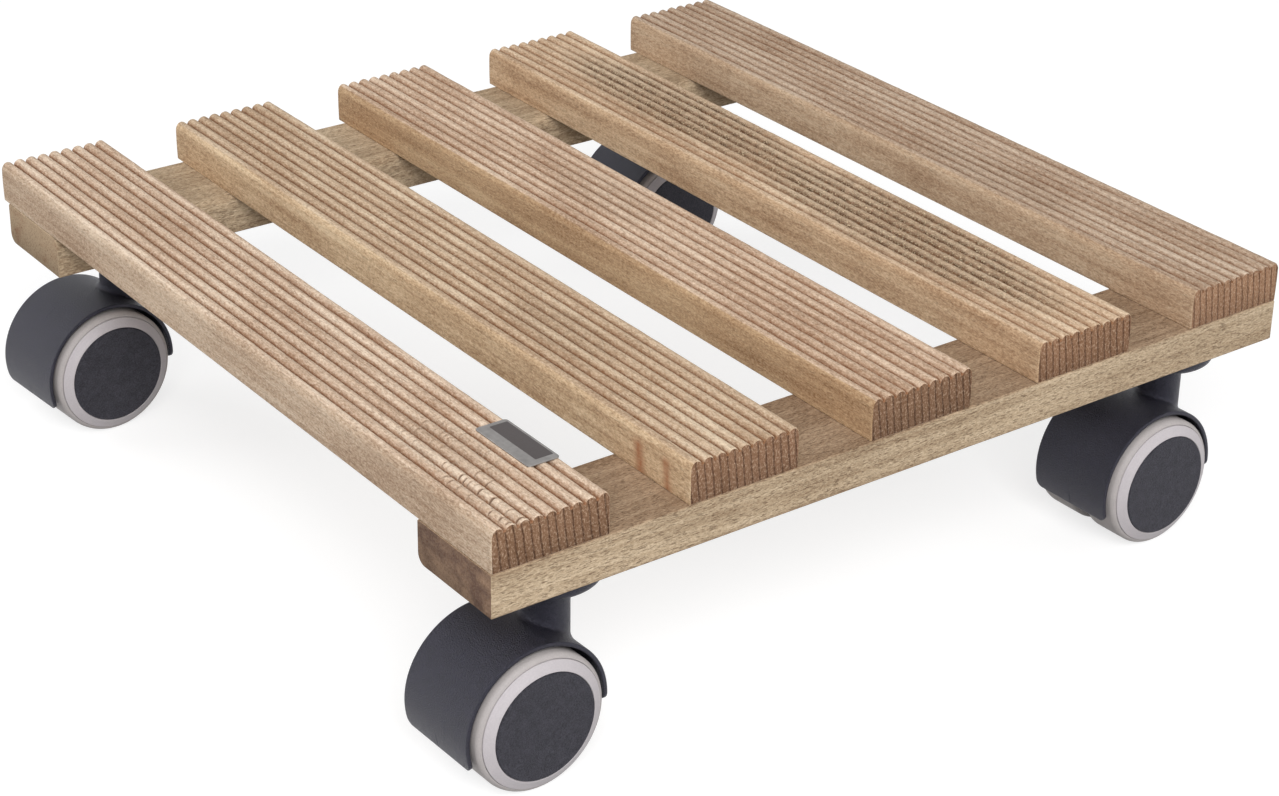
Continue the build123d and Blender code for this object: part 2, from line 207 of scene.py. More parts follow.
class CaddyPlastic(bpy.types.PropertyGroup):
    """Colours of the castors and of the label."""

    hood: colour("Hood", "Satin plastic of the hoods", paint(16, 15, 21))
    ring: colour("Ring", "Face of the wheels", paint(188, 182, 184))
    tread: colour("Tread", "Soft tread", paint(174, 168, 166))
    cap: colour("Cap", "Wheel caps", paint(55, 54, 59))
    steel: colour("Steel", "Zinc plated steel", paint(190, 190, 186))
    nylon: colour("Nylon", "Thrust washers", paint(34, 33, 38))
    label: colour("Label", "Metal of the label", paint(150, 147, 145))
    label_field: colour("Label field", "Dark field of the label", paint(66, 60, 56))


class CaddyStage(bpy.types.PropertyGroup):
    """Camera, floor and lamps."""

    camera_place: FloatVectorProperty(
        name="Camera place",
        description="Where the camera stands",
        default=(-0.5822, -0.80916, 0.54213),
        subtype="TRANSLATION",
        unit="LENGTH",
        precision=5,
    )
    camera_turn: FloatVectorProperty(
        name="Camera turn",
        description="How the camera is turned",
        default=(1.114111, -0.019282, -0.638928),
        subtype="EULER",
        precision=5,
    )
    lens: FloatProperty(name="Lens", description="Focal length in millimetres", default=80.364)
    shift_x: FloatProperty(name="Shift X", description="Sideways lens shift", default=-0.0278)
    shift_y: FloatProperty(name="Shift Y", description="Upward lens shift", default=-0.0486)
    floor: colour("Floor", "Floor and backdrop", (0.38, 0.38, 0.38))
    floor_lift: FloatProperty(
        name="Floor lift", description="Light that the floor adds where it is seen", default=0.72
    )
    key: power("Key", "Power of the main lamp", 57)
    fill: power("Fill", "Power of the fill lamp", 8)
    back: power("Back", "Power of the rear lamp", 22)
    sky: FloatProperty(name="Sky", description="Strength of the even light", default=0.36, min=0)


# Shapes


def wander(seed, u, v, cell_u, cell_v):
    """Smooth random surface between -1 and 1: random values on a lattice with the given
    cells, joined by the curve t * t * (3 - 2 * t) both ways."""
    lattice = np.random.default_rng(seed).uniform(-1, 1, (256, 256))
    u, v = np.broadcast_arrays(u / cell_u, v / cell_v)
    low_u, low_v = np.floor(u).astype(int), np.floor(v).astype(int)
    tu, tv = u - low_u, v - low_v
    tu, tv = tu * tu * (3 - 2 * tu), tv * tv * (3 - 2 * tv)
    corner = [
        [lattice[(low_u + i) % 256, (low_v + j) % 256] for j in (0, 1)] for i in (0, 1)
    ]
    near = corner[0][0] * (1 - tv) + corner[0][1] * tv
    far = corner[1][0] * (1 - tv) + corner[1][1] * tv
    return near * (1 - tu) + far * tu


def arc(middle_x, middle_y, radius, start, end, count):
    """Points of a circle's arc: middle + radius * (cos t, sin t), t in degrees."""
    t = np.radians(np.linspace(start, end, count))
    return np.stack([middle_x + radius * np.cos(t), middle_y + radius * np.sin(t)], axis=1)


def loop_faces(rings, points, around=False):
    """Quads between closed rings of points: point j of ring i joins point j + 1 of ring
    i + 1, and the last point of a ring joins its first. Around also joins the last ring to
    the first one."""
    starts = np.arange(rings if around else rings - 1)
    i, j = np.meshgrid(starts, np.arange(points), indexing="ij")
    n, k = (i + 1) % rings, (j + 1) % points
    quads = np.stack([i * points + j, i * points + k, n * points + k, n * points + j])
    return quads.reshape(4, -1).T.tolist()


def sweep(rings, material=0, cap_material=0):
    """A skin over closed rings, an array of (rings, points, 3), with a flat face on each end."""
    count, points = rings.shape[:2]
    faces = loop_faces(count, points)
    last = (count - 1) * points
    caps = [list(range(points))[::-1], list(range(last, last + points))]
    return {
        "points": rings.reshape(-1, 3),
        "faces": faces + caps,
        "materials": [material] * len(faces) + [cap_material] * 2,
        "smooth": [True] * len(faces) + [False] * 2,
    }


def spokes(t, forward):
    """Directions from the axle at angles from straight ahead: cos t * forward + sin t * up."""
    return np.cos(t)[:, None] * forward + np.sin(t)[:, None] * UP


def turned(profile, axle, segments=96):
    """A closed profile of (distance along the axle, radius) points carried round the axle:
    middle + distance * sideways + radius * spoke. Points with no radius fall together, so
    the poles are closed when the doubles are merged."""
    middle, forward, sideways = axle
    turn = spokes(np.linspace(0, 2 * np.pi, segments, endpoint=False), forward)
    along = profile[:, 0][None, :, None] * sideways
    rings = middle + along + profile[:, 1][None, :, None] * turn[:, None, :]
    faces = loop_faces(segments, len(profile), around=True)
    return {
        "points": rings.reshape(-1, 3),
        "faces": faces,
        "materials": [0] * len(faces),
        "smooth": [True] * len(faces),
    }


def join(name, skins, marks=None):
    """Joins skins into one mesh with its marks, merges its doubles and points its faces
    outwards."""
    points = np.concatenate([skin["points"] for skin in skins])
    faces, indices, smooth, first = [], [], [], 0
    for skin in skins:
        faces += [[first + p for p in face] for face in skin["faces"]]
        indices += skin["materials"]
        smooth += skin["smooth"]
        first += len(skin["points"])
    mesh = bpy.data.meshes.new(name)
    mesh.from_pydata(points.tolist(), [], faces)
    mesh.polygons.foreach_set("material_index", indices)
    mesh.polygons.foreach_set("use_smooth", smooth)
    for mark, values in (marks or {}).items():
        layer = mesh.attributes.new(mark, "FLOAT", "POINT")
        layer.data.foreach_set("value", np.ravel(values).astype(np.float32))
    shape = bmesh.new()
    shape.from_mesh(mesh)
    bmesh.ops.remove_doubles(shape, verts=shape.verts, dist=1e-6)
    bmesh.ops.dissolve_degenerate(shape, edges=shape.edges, dist=1e-7)
    bmesh.ops.recalc_face_normals(shape, faces=shape.faces)
    shape.to_mesh(mesh)
    shape.free()
    return mesh


def cut_out(piece, skins):
    """Takes the solids inside the skins out of a piece."""
    cutter = bpy.data.objects.new("cutter", join("cutter", skins))
    bpy.context.scene.collection.objects.link(cutter)
    change = piece.modifiers.new("cut", "BOOLEAN")
    change.operation, change.solver, change.object = "DIFFERENCE", "EXACT", cutter
    seen = piece.evaluated_get(bpy.context.evaluated_depsgraph_get())
    whole = piece.data
    piece.data = bpy.data.meshes.new_from_object(seen)
    piece.modifiers.clear()
    bpy.data.meshes.remove(whole)
    piece.data.name = piece.name
    bpy.data.meshes.remove(cutter.data)


def build(name, skins, materials, body, node_name, crease, marks=None, holes=None):
    """Makes one mesh object at the origin from skins, takes the holes out of it, creases
    edges sharper than the given angle, ties it to its body and lets it stand for a node of
    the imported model."""
    piece = bpy.data.objects.new(name, join(name, skins, marks))
    for material in materials:
        piece.data.materials.append(material)
    bpy.context.scene.collection.objects.link(piece)
    if holes:
        cut_out(piece, holes)
    piece.data.set_sharp_from_angle(angle=np.radians(crease))
    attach(piece, body)
    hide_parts(node_name)


def inwards(outline, distance):
    """The closed outline moved inwards by a distance along its own normals."""
    ahead = np.roll(outline, -1, axis=0) - np.roll(outline, 1, axis=0)
    normal = np.stack([-ahead[:, 1], ahead[:, 0]], axis=1)
    normal /= np.linalg.norm(normal, axis=1, keepdims=True) + 1e-12
    return outline + normal * distance


# Materials


def feed(tree, made, inputs):
    """Feeds the inputs of a shader node with values or with the outputs of other nodes."""
    for key, value in inputs.items():
        if isinstance(value, bpy.types.NodeSocket):
            tree.links.new(value, made.inputs[key])
        else:
            made.inputs[key].default_value = value


def node(tree, kind, inputs=None, **settings):
    """Adds a shader node, sets it up and feeds its inputs."""
    made = tree.nodes.new("ShaderNode" + kind)
    for key, value in settings.items():
        setattr(made, key, value)
    feed(tree, made, inputs or {})
    return made


def rgba(value):
    """A colour with its opacity, or an output as it is."""
    return value if isinstance(value, bpy.types.NodeSocket) else (*value[:3], 1.0)


def mix(tree, factor, first, second, mode="MIX"):
    """Blends two colours."""
    inputs = {0: factor, 6: rgba(first), 7: rgba(second)}
    return node(tree, "Mix", inputs, data_type="RGBA", blend_type=mode).outputs[2]


def maths(tree, operation, *values):
    """One step of arithmetic on outputs and numbers."""
    return node(tree, "Math", dict(enumerate(values)), operation=operation).outputs[0]


def times(tree, first, second):
    """The product of two outputs or numbers."""
    return maths(tree, "MULTIPLY", first, second)


def blend(tree, shares):
    """The sum of outputs, each times its share."""
    parts = [times(tree, value, share) for value, share in shares]
    total = parts[0]
    for part in parts[1:]:
        total = maths(tree, "ADD", total, part)
    return total


def spread(tree, value, low, high, to_low=0.0, to_high=1.0):
    """Maps a value from the range low to high onto a new range, and clamps it."""
    inputs = {0: value, 1: low, 2: high, 3: to_low, 4: to_high}
    return node(tree, "MapRange", inputs).outputs[0]


def grain(tree, place, scale, detail=2.0, roughness=0.5, distortion=0.0):
    """Noise whose three scales are given per metre, so that it can run along the wood."""
    stretched = node(tree, "Mapping", {"Vector": place, "Scale": scale}).outputs[0]
    inputs = {
        "Vector": stretched,
        "Scale": 1.0,
        "Detail": detail,
        "Roughness": roughness,
        "Distortion": distortion,
    }
    return node(tree, "TexNoise", inputs).outputs[0]


def start_material(name, offset=(0.0, 0.0, 0.0)):
    """A new material with its shader and the place of each point on the object."""
    material = bpy.data.materials.new(name)
    material.use_nodes = True
    tree = material.node_tree
    shader = tree.nodes["Principled BSDF"]
    coordinates = node(tree, "TexCoord").outputs["Object"]
    place = node(tree, "Mapping", {"Vector": coordinates, "Location": offset}).outputs[0]
    return material, tree, shader, place


def finish(tree, shader, ground, roughness, specular, height, depth):
    """Feeds the shader its colour, roughness and specular level, and raises the surface by
    a height of 0 to 1 times the depth."""
    bump = node(tree, "Bump", {"Height": height, "Distance": depth, "Strength": 1.0})
    inputs = {
        "Base Color": ground,
        "Roughness": roughness,
        "Specular IOR Level": specular,
        "Normal": bump.outputs[0],
    }
    feed(tree, shader, inputs)


def long_wood(name, tones, offset, tint, dashes, across_y=False):
    """Wood along its fibres: broad patches, faint streaks, a fine speckle and short dark
    pores. Marks on the mesh add a tint on the flanks (on a batten's top, painted shade between
    the slats), painted shade at the foot of the grooves, pale fibres and painted shade in the
    hollows where the grain is torn, rust coloured flecks and painted shadow in the cuts."""
    light, middle, dark, fleck_and_shade, groove_shade, torn = tones
    material, tree, shader, place = start_material(name, offset)

    def scale(across, along):
        return (along, across, across) if across_y else (across, along, across)

    def mark(kind):
        return node(tree, "Attribute", attribute_name=kind).outputs["Fac"]

    patches = grain(tree, place, scale(45, 16), 3, 0.6)
    streaks = grain(tree, place, scale(330, 9), 3, 0.6, 0.5)
    speckle = grain(tree, place, scale(1500, 700), 3, 0.75)
    pores = grain(tree, place, scale(3200, 330), 2, 0.6, 0.4)
    fuzz = grain(tree, place, scale(1500, 1000), 3, 0.75)
    tone = blend(tree, ((streaks, 0.3), (speckle, 0.45), (patches, 0.25)))
    ground = mix(tree, spread(tree, tone, 0.38, 0.5), dark, middle)
    ground = mix(tree, spread(tree, tone, 0.5, 0.6), ground, light)
    pore = spread(tree, pores, 0.55, 0.66, 0.0, dashes)
    ground = mix(tree, pore, ground, fleck_and_shade)
    # The tint on the flank mark: on a slat, its sides; on a batten, its top, where the front
    # batten's tint is painted shade between the slats
    ground = mix(tree, mark("flank"), ground, tint, "MULTIPLY")

    groove, tear = mark("groove"), mark("tear")
    # Painted shade at the foot of the grooves, uneven along the speckle
    uneven = times(tree, groove, spread(tree, speckle, 0.3, 0.65, 1.2, 0.75))
    ground = mix(tree, spread(tree, uneven, 0.12, 0.8, 0.0, 0.9), ground, groove_shade)
    frayed = times(tree, tear, spread(tree, fuzz, 0.5, 0.62, 0.0, 0.8))
    ground = mix(tree, frayed, ground, torn)
    # Painted shade: the fleck colour laid into the deeper torn hollows
    deep = times(tree, tear, spread(tree, groove, 0.0, 0.5, 0.2, 1.0))
    hollow = times(tree, deep, spread(tree, fuzz, 0.63, 0.52, 0.0, 1.0))
    ground = mix(tree, hollow, ground, fleck_and_shade)
    rusty = times(tree, mark("rust"), spread(tree, speckle, 0.35, 0.6, 0.4, 0.95))
    ground = mix(tree, rusty, ground, RUST)
    # Painted shadow: the fleck colour laid into the short cuts across the ridges
    ground = mix(tree, spread(tree, mark("chip"), 0.1, 0.6, 0.0, 0.85), ground, fleck_and_shade)

    height = maths(tree, "SUBTRACT", speckle, times(tree, pore, 0.9))
    height = maths(tree, "ADD", height, maths(tree, "SUBTRACT", frayed, hollow))
    rough = spread(tree, speckle, 0.3, 0.7, 0.88, 0.7)
    finish(tree, shader, ground, rough, 0.2, height, 0.25 * MM)
    return material


def end_wood(name, end, line, fleck_and_shade, light, offset):
    """Sawn end grain of a slat: steep, slightly wavering thin growth lines, unevenly dark,
    over a speckled ground with paler flecks."""
    material, tree, shader, place = start_material(name, offset)
    leaning = node(tree, "Mapping", {"Vector": place, "Rotation": (0.0, 0.12, 0.0)}).outputs[0]
    wave = {
        "Vector": leaning,
        "Scale": np.pi / 10 / LINE_SPACING,
        "Distortion": 1.3,
        "Detail": 3.0,
        "Detail Scale": 0.8,
        "Detail Roughness": 0.65,
    }
    lines = node(tree, "TexWave", wave, wave_type="BANDS", bands_direction="X").outputs[1]
    speckle = grain(tree, place, (1500, 1500, 900), 3, 0.75)
    patches = grain(tree, place, (150, 150, 70), 3, 0.6)
    ground = mix(tree, spread(tree, patches, 0.35, 0.7, 0.0, 0.4), end, fleck_and_shade)
    ground = mix(tree, spread(tree, speckle, 0.5, 0.66, 0.0, 0.6), ground, light)
    ground = mix(tree, spread(tree, speckle, 0.46, 0.34, 0.0, 0.55), ground, fleck_and_shade)
    thin = maths(tree, "POWER", lines, 11.0)
    broken = times(tree, thin, spread(tree, speckle, 0.35, 0.6, 1.0, 0.55))
    ground = mix(tree, broken, ground, line)
    height = maths(tree, "SUBTRACT", speckle, broken)
    finish(tree, shader, ground, 0.9, 0.12, height, 0.4 * MM)
    return material


def blotched_end(name, light, dark, fleck_and_shade, offset, share):
    """Sawn end grain of a batten: no lines, but dark blotches over a speckled ground. The
    share says how much of it is dark."""
    material, tree, shader, place = start_material(name, offset)
    blotches = grain(tree, place, (60, 60, 90), 6, 0.7, 0.3)
    speckle = grain(tree, place, (1300, 1300, 1300), 3, 0.75)
    edge = 0.62 - 0.25 * share
    ground = mix(tree, spread(tree, blotches, edge - 0.1, edge + 0.1), light, dark)
    ground = mix(tree, spread(tree, speckle, 0.48, 0.34, 0.0, 0.7), ground, fleck_and_shade)
    ground = mix(tree, spread(tree, speckle, 0.52, 0.68, 0.0, 0.4), ground, light)
    finish(tree, shader, ground, 0.9, 0.12, speckle, 0.3 * MM)
    return material


def moulded(name, tone, roughness, pits, mottle, specular=0.5):
    """Moulded plastic or rubber with cool highlights and a fine pitted skin. Its colour
    wanders from tone / (1 + mottle) to tone * (1 + mottle)."""
    material, tree, shader, place = start_material(name)
    cloud = grain(tree, place, (280, 280, 280), 4, 0.7)
    speck = grain(tree, place, (1800, 1800, 1800), 3, 0.75)
    darker = tuple(value / (1 + mottle) for value in tone)
    lighter = tuple(min(1.0, value * (1 + mottle)) for value in tone)
    shade = blend(tree, ((cloud, 0.3), (speck, 0.7)))
    ground = mix(tree, spread(tree, shade, 0.38, 0.62), darker, lighter)
    rough = spread(tree, shade, 0.38, 0.62, roughness - 0.07, roughness + 0.09)
    finish(tree, shader, ground, rough, specular, speck, pits)
    feed(tree, shader, {"Specular Tint": rgba(COOL)})
    return material


def metal(name, tone, roughness, brushed=(900, 60, 900)):
    """Plated or brushed metal with fine lines and cloudy wear."""
    material, tree, shader, place = start_material(name)
    lines = grain(tree, place, brushed, 3, 0.6)
    cloud = grain(tree, place, (240, 240, 240), 3, 0.6)
    darker = tuple(value * 0.75 for value in tone)
    ground = mix(tree, spread(tree, cloud, 0.3, 0.7), darker, tone)
    rough = spread(tree, lines, 0.3, 0.7, roughness - 0.08, roughness + 0.1)
    finish(tree, shader, ground, rough, 0.5, lines, 0.04 * MM)
    feed(tree, shader, {"Metallic": 1.0})
    return material


# Deck


def corners_of(node_name):
    """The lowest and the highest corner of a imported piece."""
    return (np.array(corner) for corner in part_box(node_name))


def softened(places, tip, depth):
    """How far a section shrinks at each place along a piece, which softens its sawn ends:
    depth * (1 - distance / tip)^2 near either end."""
    ends = np.minimum(places - places[0], places[-1] - places)
    return depth * (1 - np.clip(ends / tip, 0, 1)) ** 2


def slat_outline(deck, half, height):
    """Closed outline of a slat's end, x across and z up, counter-clockwise from the lower
    left: rounded lower edges, bellied sides, shoulders that are quarters of an ellipse, and
    ridges that follow |x / a|^n + |z / b|^n = 1. Also gives each point's share of the
    groove's depth and whether it lies on a side."""
    gap, sink = deck.ridge_pitch / 2, deck.groove_depth
    foot = arc(half - deck.arris, deck.arris, deck.arris, -90, 0, 5)
    side = np.linspace(deck.arris + 1.0 * MM, height - deck.shoulder - 0.6 * MM, 6)
    side = np.column_stack([np.full(6, half), side])
    t = np.radians(np.linspace(0, 90, 8))
    shoulder = np.column_stack(
        [half - gap + gap * np.cos(t), height + deck.shoulder * (np.sin(t) - 1)]
    )
    t = np.radians(np.linspace(0, 90, 7))
    bend = 2 / deck.fullness
    flank = np.column_stack(
        [
            (gap - deck.groove_floor / 2) * np.cos(t) ** bend,
            height + sink * (np.sin(t) ** bend - 1),
        ]
    )
    ridge = np.concatenate([flank, flank[-2::-1] * [-1, 1]])
    middles = (np.arange(deck.ridge_count) - (deck.ridge_count - 1) / 2) * deck.ridge_pitch
    inner = [ridge + [x, 0] for x in middles[1:-1][::-1]]
    last = ridge[len(flank):] + [middles[-1], 0]
    top = np.concatenate([shoulder, last, *inner, last[::-1] * [-1, 1], shoulder[::-1] * [-1, 1]])
    bottom = np.column_stack([np.linspace(-half, half, 9)[1:-1], np.zeros(7)])
    left = np.concatenate([foot, side])[::-1] * [-1, 1]
    outline = np.concatenate([bottom, foot, side, top, left])
    beside = abs(outline[:, 0]) > half - 1 * MM
    bulge = ((outline[:, 1] - height / 2) / (height / 2)) ** 2
    outline[:, 0] *= 1 - deck.belly / half * bulge * beside
    ridged = (abs(outline[:, 0]) < half - gap) & (outline[:, 1] > height / 2)
    groove = np.clip(np.where(ridged, (height - outline[:, 1]) / sink, 0.0), 0, 1)
    return outline, groove, beside.astype(float)


def stations(start, end, step, edge, busy=()):
    """Places along a piece, from its start to its end. They lie close together at both tips
    and closer than the step in the busy stretches, given as middle and reach in shares of
    the length and how many times closer: a running total of the wanted rate is cut into
    equal parts."""
    fine = np.linspace(start + 2.5 * edge, end - 2.5 * edge, 4000)
    share = (fine - start) / (end - start)
    rate = np.ones_like(fine)
    for middle, reach, closer in busy:
        rate = np.where(abs(share - middle) < reach, closer, rate)
    total = np.cumsum(rate) * (fine[1] - fine[0])
    count = int((total[-1] - total[0]) / step)
    even = np.interp(np.linspace(total[0], total[-1], count), total, fine)
    tip = np.array([0, edge / 3, edge])
    return np.concatenate([start + tip, even, end - tip[::-1]])


def slat(deck, number, materials):
    """One slat: its outline carried along +Y, with planing waver, torn grain in patches,
    short cuts and softened sawn ends. Torn ridges lose a random height of up to the tear's
    depth, cuts a little more. Both fade out below the ridges' crests."""
    node_name = f"slat_{number}"
    low, high = corners_of(node_name)
    half, height = (high[0] - low[0]) / 2, high[2] - low[2]
    step, tip, fade_below, fade_over = 1.6 * MM, 0.4 * MM, 2.5 * MM, 1.5 * MM
    outline, groove, beside = slat_outline(deck, half, height)
    busy = [(*patch[:2], 4.0 if patch[5] else 2.6) for patch in TORN[number] if patch[4] > 0.5]
    y = stations(low[1], high[1], step, tip, busy)
    soften = softened(y, tip, 0.35 * MM)[:, None]
    shrunk = inwards(outline, 1.0) - outline
    across, up = outline[None, :, 0], outline[None, :, 1]
    x = across + soften * shrunk[None, :, 0]
    z = up + soften * shrunk[None, :, 1]
    along = (y - low[1])[:, None]
    top = np.clip((up - (height - fade_below)) / fade_over, 0, 1)

    seed = 40 + number
    waver = wander(seed, along, across, 22 * MM, 4 * MM)
    waver += wander(seed + 7, along, across, 4 * MM, 2.1 * MM) * 0.5
    torn, chipped = torn_patches(number, along, across + half, high[1] - low[1])
    rough = wander(seed + 13, along, across, 1.5 * MM, 1.1 * MM)
    chips = cuts(seed + 19, along, across, deck.ridge_pitch) * (1 - 0.7 * groove[None, :])
    chips = chips * chipped
    frayed = np.clip(torn - 0.85 * chipped, 0, 1)
    low_parts = np.clip(0.3 + groove[None, :], 0, 1)
    z = z - top * np.clip(0.5 + waver, 0, 1) * deck.waver
    z = z - top * deck.tear * (frayed * np.clip(rough, 0, 1) * low_parts + 1.2 * chips)
    middle = np.full(x.shape, (low[0] + high[0]) / 2)
    rings = np.stack([x + middle, np.broadcast_to(y[:, None], x.shape), z + low[2]], axis=2)

    marks = {
        "groove": groove,
        "flank": beside,
        "tear": np.clip(frayed * top * (0.85 + 0.5 * rough), 0, 1),
        "chip": top * chips,
        "rust": flecks(number, along, up) * beside * (outline[:, 0] < 0),
    }
    marks = {mark: np.broadcast_to(values, x.shape) for mark, values in marks.items()}
    skin = sweep(rings, cap_material=1)
    build(f"slat_{number}_wood", [skin], materials, "deck", node_name, 50, marks)


def cuts(seed, along, across, pitch):
    """Short cuts across the ridges, at most one in each stretch of a ridge: a tent
    3/2 - |t - 1/2| / narrow of the share t of the stretch, clipped to 0 and 1, times a
    random depth, which is nothing for some of them."""
    stretch, narrow = 3 * MM, 0.13
    lattice = np.random.default_rng(seed).uniform(0, 1, (256, 64))
    place = across / pitch + 64.5
    lean = 0.5 * (place - np.floor(place) - 0.5) ** 2
    ridge = np.floor(place).astype(int) % 64
    run = along / stretch + 7 * lattice[0][ridge] + lean
    run = run + 0.4 * wander(seed + 1, along, across, 7 * MM, pitch)
    step = np.floor(run).astype(int)
    depth = np.clip(2.5 * lattice[step % 256, ridge] - 1.1, 0, 1)
    return np.clip(1.5 - abs(run - step - 0.5) / narrow, 0, 1) * depth


def torn_patches(number, along, across, span):
    """How torn a slat's grain is and how much of it is cut through, 0 to 1, as soft-edged
    ellipses in shares of its length and width: strength * 1.6 * (1 - (dy / reach)^2 -
    (dx / width)^2)."""
    torn = np.zeros(np.broadcast_shapes(along.shape, across.shape))
    chipped = torn
    wide = across.max()
    for middle, reach, side, width, strength, chips in TORN[number]:
        far = ((along / span - middle) / reach) ** 2 + ((across / wide - side) / width) ** 2
        patch = strength * np.clip(1.6 * (1 - far), 0, 1)
        torn, chipped = np.maximum(torn, patch), np.maximum(chipped, patch * chips)
    return torn, chipped


def flecks(number, along, up):
    """Flecks across a slat's side, as bells exp(-((y - place) / width)^2) that lean a little
    and fade at the top."""
    shade = np.zeros(np.broadcast_shapes(along.shape, up.shape))
    for place, width in FLECKS.get(number, ()):
        shade += np.exp(-(((along - place - 0.12 * up) / width) ** 2))
    return shade * np.clip((13 * MM - up) / (3 * MM), 0, 1)


def batten(deck, side, materials):
    """One batten: a rectangle with its four corners rounded, carried along +X, with the
    countersinks of the slats' screws cut out. The lower back edge is well rounded on both
    battens, and the upper front edge on the back one."""
    node_name = f"batten_{side}"
    low, high = corners_of(node_name)
    half, height = (high[1] - low[1]) / 2, high[2] - low[2]
    soft, sharp = deck.batten_round, deck.batten_arris
    radii = [sharp, soft, sharp, soft if side == "back" else sharp]
    corners = [(-1, 0, 180), (1, 0, 270), (1, 1, 0), (-1, 1, 90)]
    parts = []
    for (sign, upper, turn), radius in zip(corners, radii):
        middle_z = height - radius if upper else radius
        parts.append(arc(sign * (half - radius), middle_z, radius, turn, turn + 90, 7))
    runs = []
    for here, there in zip(parts, parts[1:] + parts[:1]):
        share = np.linspace(0.08, 0.92, 8)[:, None]
        runs += [here, here[-1] + (there[0] - here[-1]) * share]
    outline = np.concatenate(runs)
    step, tip, planing = 2.2 * MM, 0.3 * MM, 0.1 * MM
    x = stations(low[0], high[0], step, tip)
    shrunk = inwards(outline, 1.0) - outline
    seed = 61 if side == "back" else 67
    waver = wander(seed, x[:, None], outline.sum(axis=1)[None, :], 30 * MM, 8 * MM)
    depth = softened(x, tip, 0.2 * MM)[:, None] + np.clip(waver, 0, 1) * planing
    y = outline[None, :, 0] + depth * shrunk[None, :, 0] + (low[1] + high[1]) / 2
    z = outline[None, :, 1] + depth * shrunk[None, :, 1] + low[2]
    rings = np.stack([np.broadcast_to(x[:, None], y.shape), y, z], axis=2)
    skin = sweep(rings, cap_material=1)
    # Flank mark on the batten's top, where its tint is painted shade between the slats
    upper = np.clip((outline[None, :, 1] - height + soft) / soft, 0, 1) ** 8
    marks = {"flank": np.broadcast_to(upper, y.shape)}
    holes = screw_seats(deck, (low[1] + high[1]) / 2, low[2])
    wood = f"batten_{side}_wood"
    build(wood, [skin], materials, "deck", node_name, 50, marks, holes)


def screw_seats(deck, batten_y, underside):
    """Solids of the countersinks under a batten: cones, two set diagonally under each slat,
    that open downwards. Each starts a little outside the wood, so that the cut is clean."""
    t = np.linspace(0, 2 * np.pi, 32, endpoint=False)
    ring = np.stack([np.cos(t), np.sin(t), 0 * t], axis=1)
    outside, depth = 0.3 * MM, 2.0 * MM
    skins = []
    for number in SLAT_TINTS:
        low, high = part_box(f"slat_{number}")
        for sign in (-1, 1):
            x = (low[0] + high[0]) / 2 + sign * deck.screw_across
            spot = np.array([x, batten_y - sign * deck.screw_along, underside])
            levels = [
                spot + ring * (deck.screw_mouth - rise) + [0, 0, rise]
                for rise in (-outside, depth)
            ]
            skins.append(sweep(np.stack(levels)))
    return skins


def rounded_rectangle(half_x, half_y, radius, count=6):
    """Outline of a rectangle with round corners, counter-clockwise."""
    corners = [(1, -1, -90), (1, 1, 0), (-1, 1, 90), (-1, -1, 180)]
    return np.concatenate(
        [
            arc(sx * (half_x - radius), sy * (half_y - radius), radius, turn, turn + 90, count)
            for sx, sy, turn in corners
        ]
    )


def label(deck, materials):
    """The label: rings of one rounded rectangle at rising insets make its edge and its face.
    A smaller one at the same height makes its dark field, which is left empty."""
    low, high = corners_of("label_plate")
    middle, half = (low + high) / 2, (high - low) / 2
    top = high[2] - low[2]

    def rings(spot, half_x, half_y, corner, levels):
        made = []
        for inset, rise in levels:
            outline = rounded_rectangle(half_x - inset, half_y - inset, corner(inset))
            made.append(np.column_stack([outline + spot, np.full(len(outline), low[2] + rise)]))
        return np.stack(made)

    edge = [
        (0.0, 0.0),
        (0.0, top * 0.8),
        (0.05 * MM, top * 0.95),
        (0.12 * MM, top - 0.02 * MM),
    ]
    plate = rings(middle[:2], half[0], half[1], lambda inset: deck.label_corner - inset, edge)
    field_spot = middle[:2] + [1.9 * MM, 0.5 * MM]
    field_x, field_y = half[0] - 2.75 * MM, half[1] - 2.3 * MM
    edge = [(0.0, top * 0.5), (0.0, top - 0.01 * MM), (0.08 * MM, top)]
    panel = rings(field_spot, field_x, field_y, lambda inset: 0.4 * MM, edge)
    skins = [sweep(plate), sweep(panel, material=1, cap_material=1)]
    build("label_face", skins, materials, "deck", "label_plate", 40)


# Castors


def castor_axes(name):
    """Middle of a castor's axle, the direction from it to the swivel axis, the direction
    along the axle, and the swivel axis's place, all read from the joints."""
    swivel = np.array(JOINTS[f"{name}_swivel"]["pos_m"])
    spins = [np.array(JOINTS[f"{name}_spin_{letter}"]["pos_m"]) for letter, _ in SIDES]
    middle = (spins[0] + spins[1]) / 2
    sideways = np.array(JOINTS[f"{name}_spin_a"]["axis"], dtype=float)
    forward = np.cross(sideways, UP)
    return middle, forward, sideways, swivel


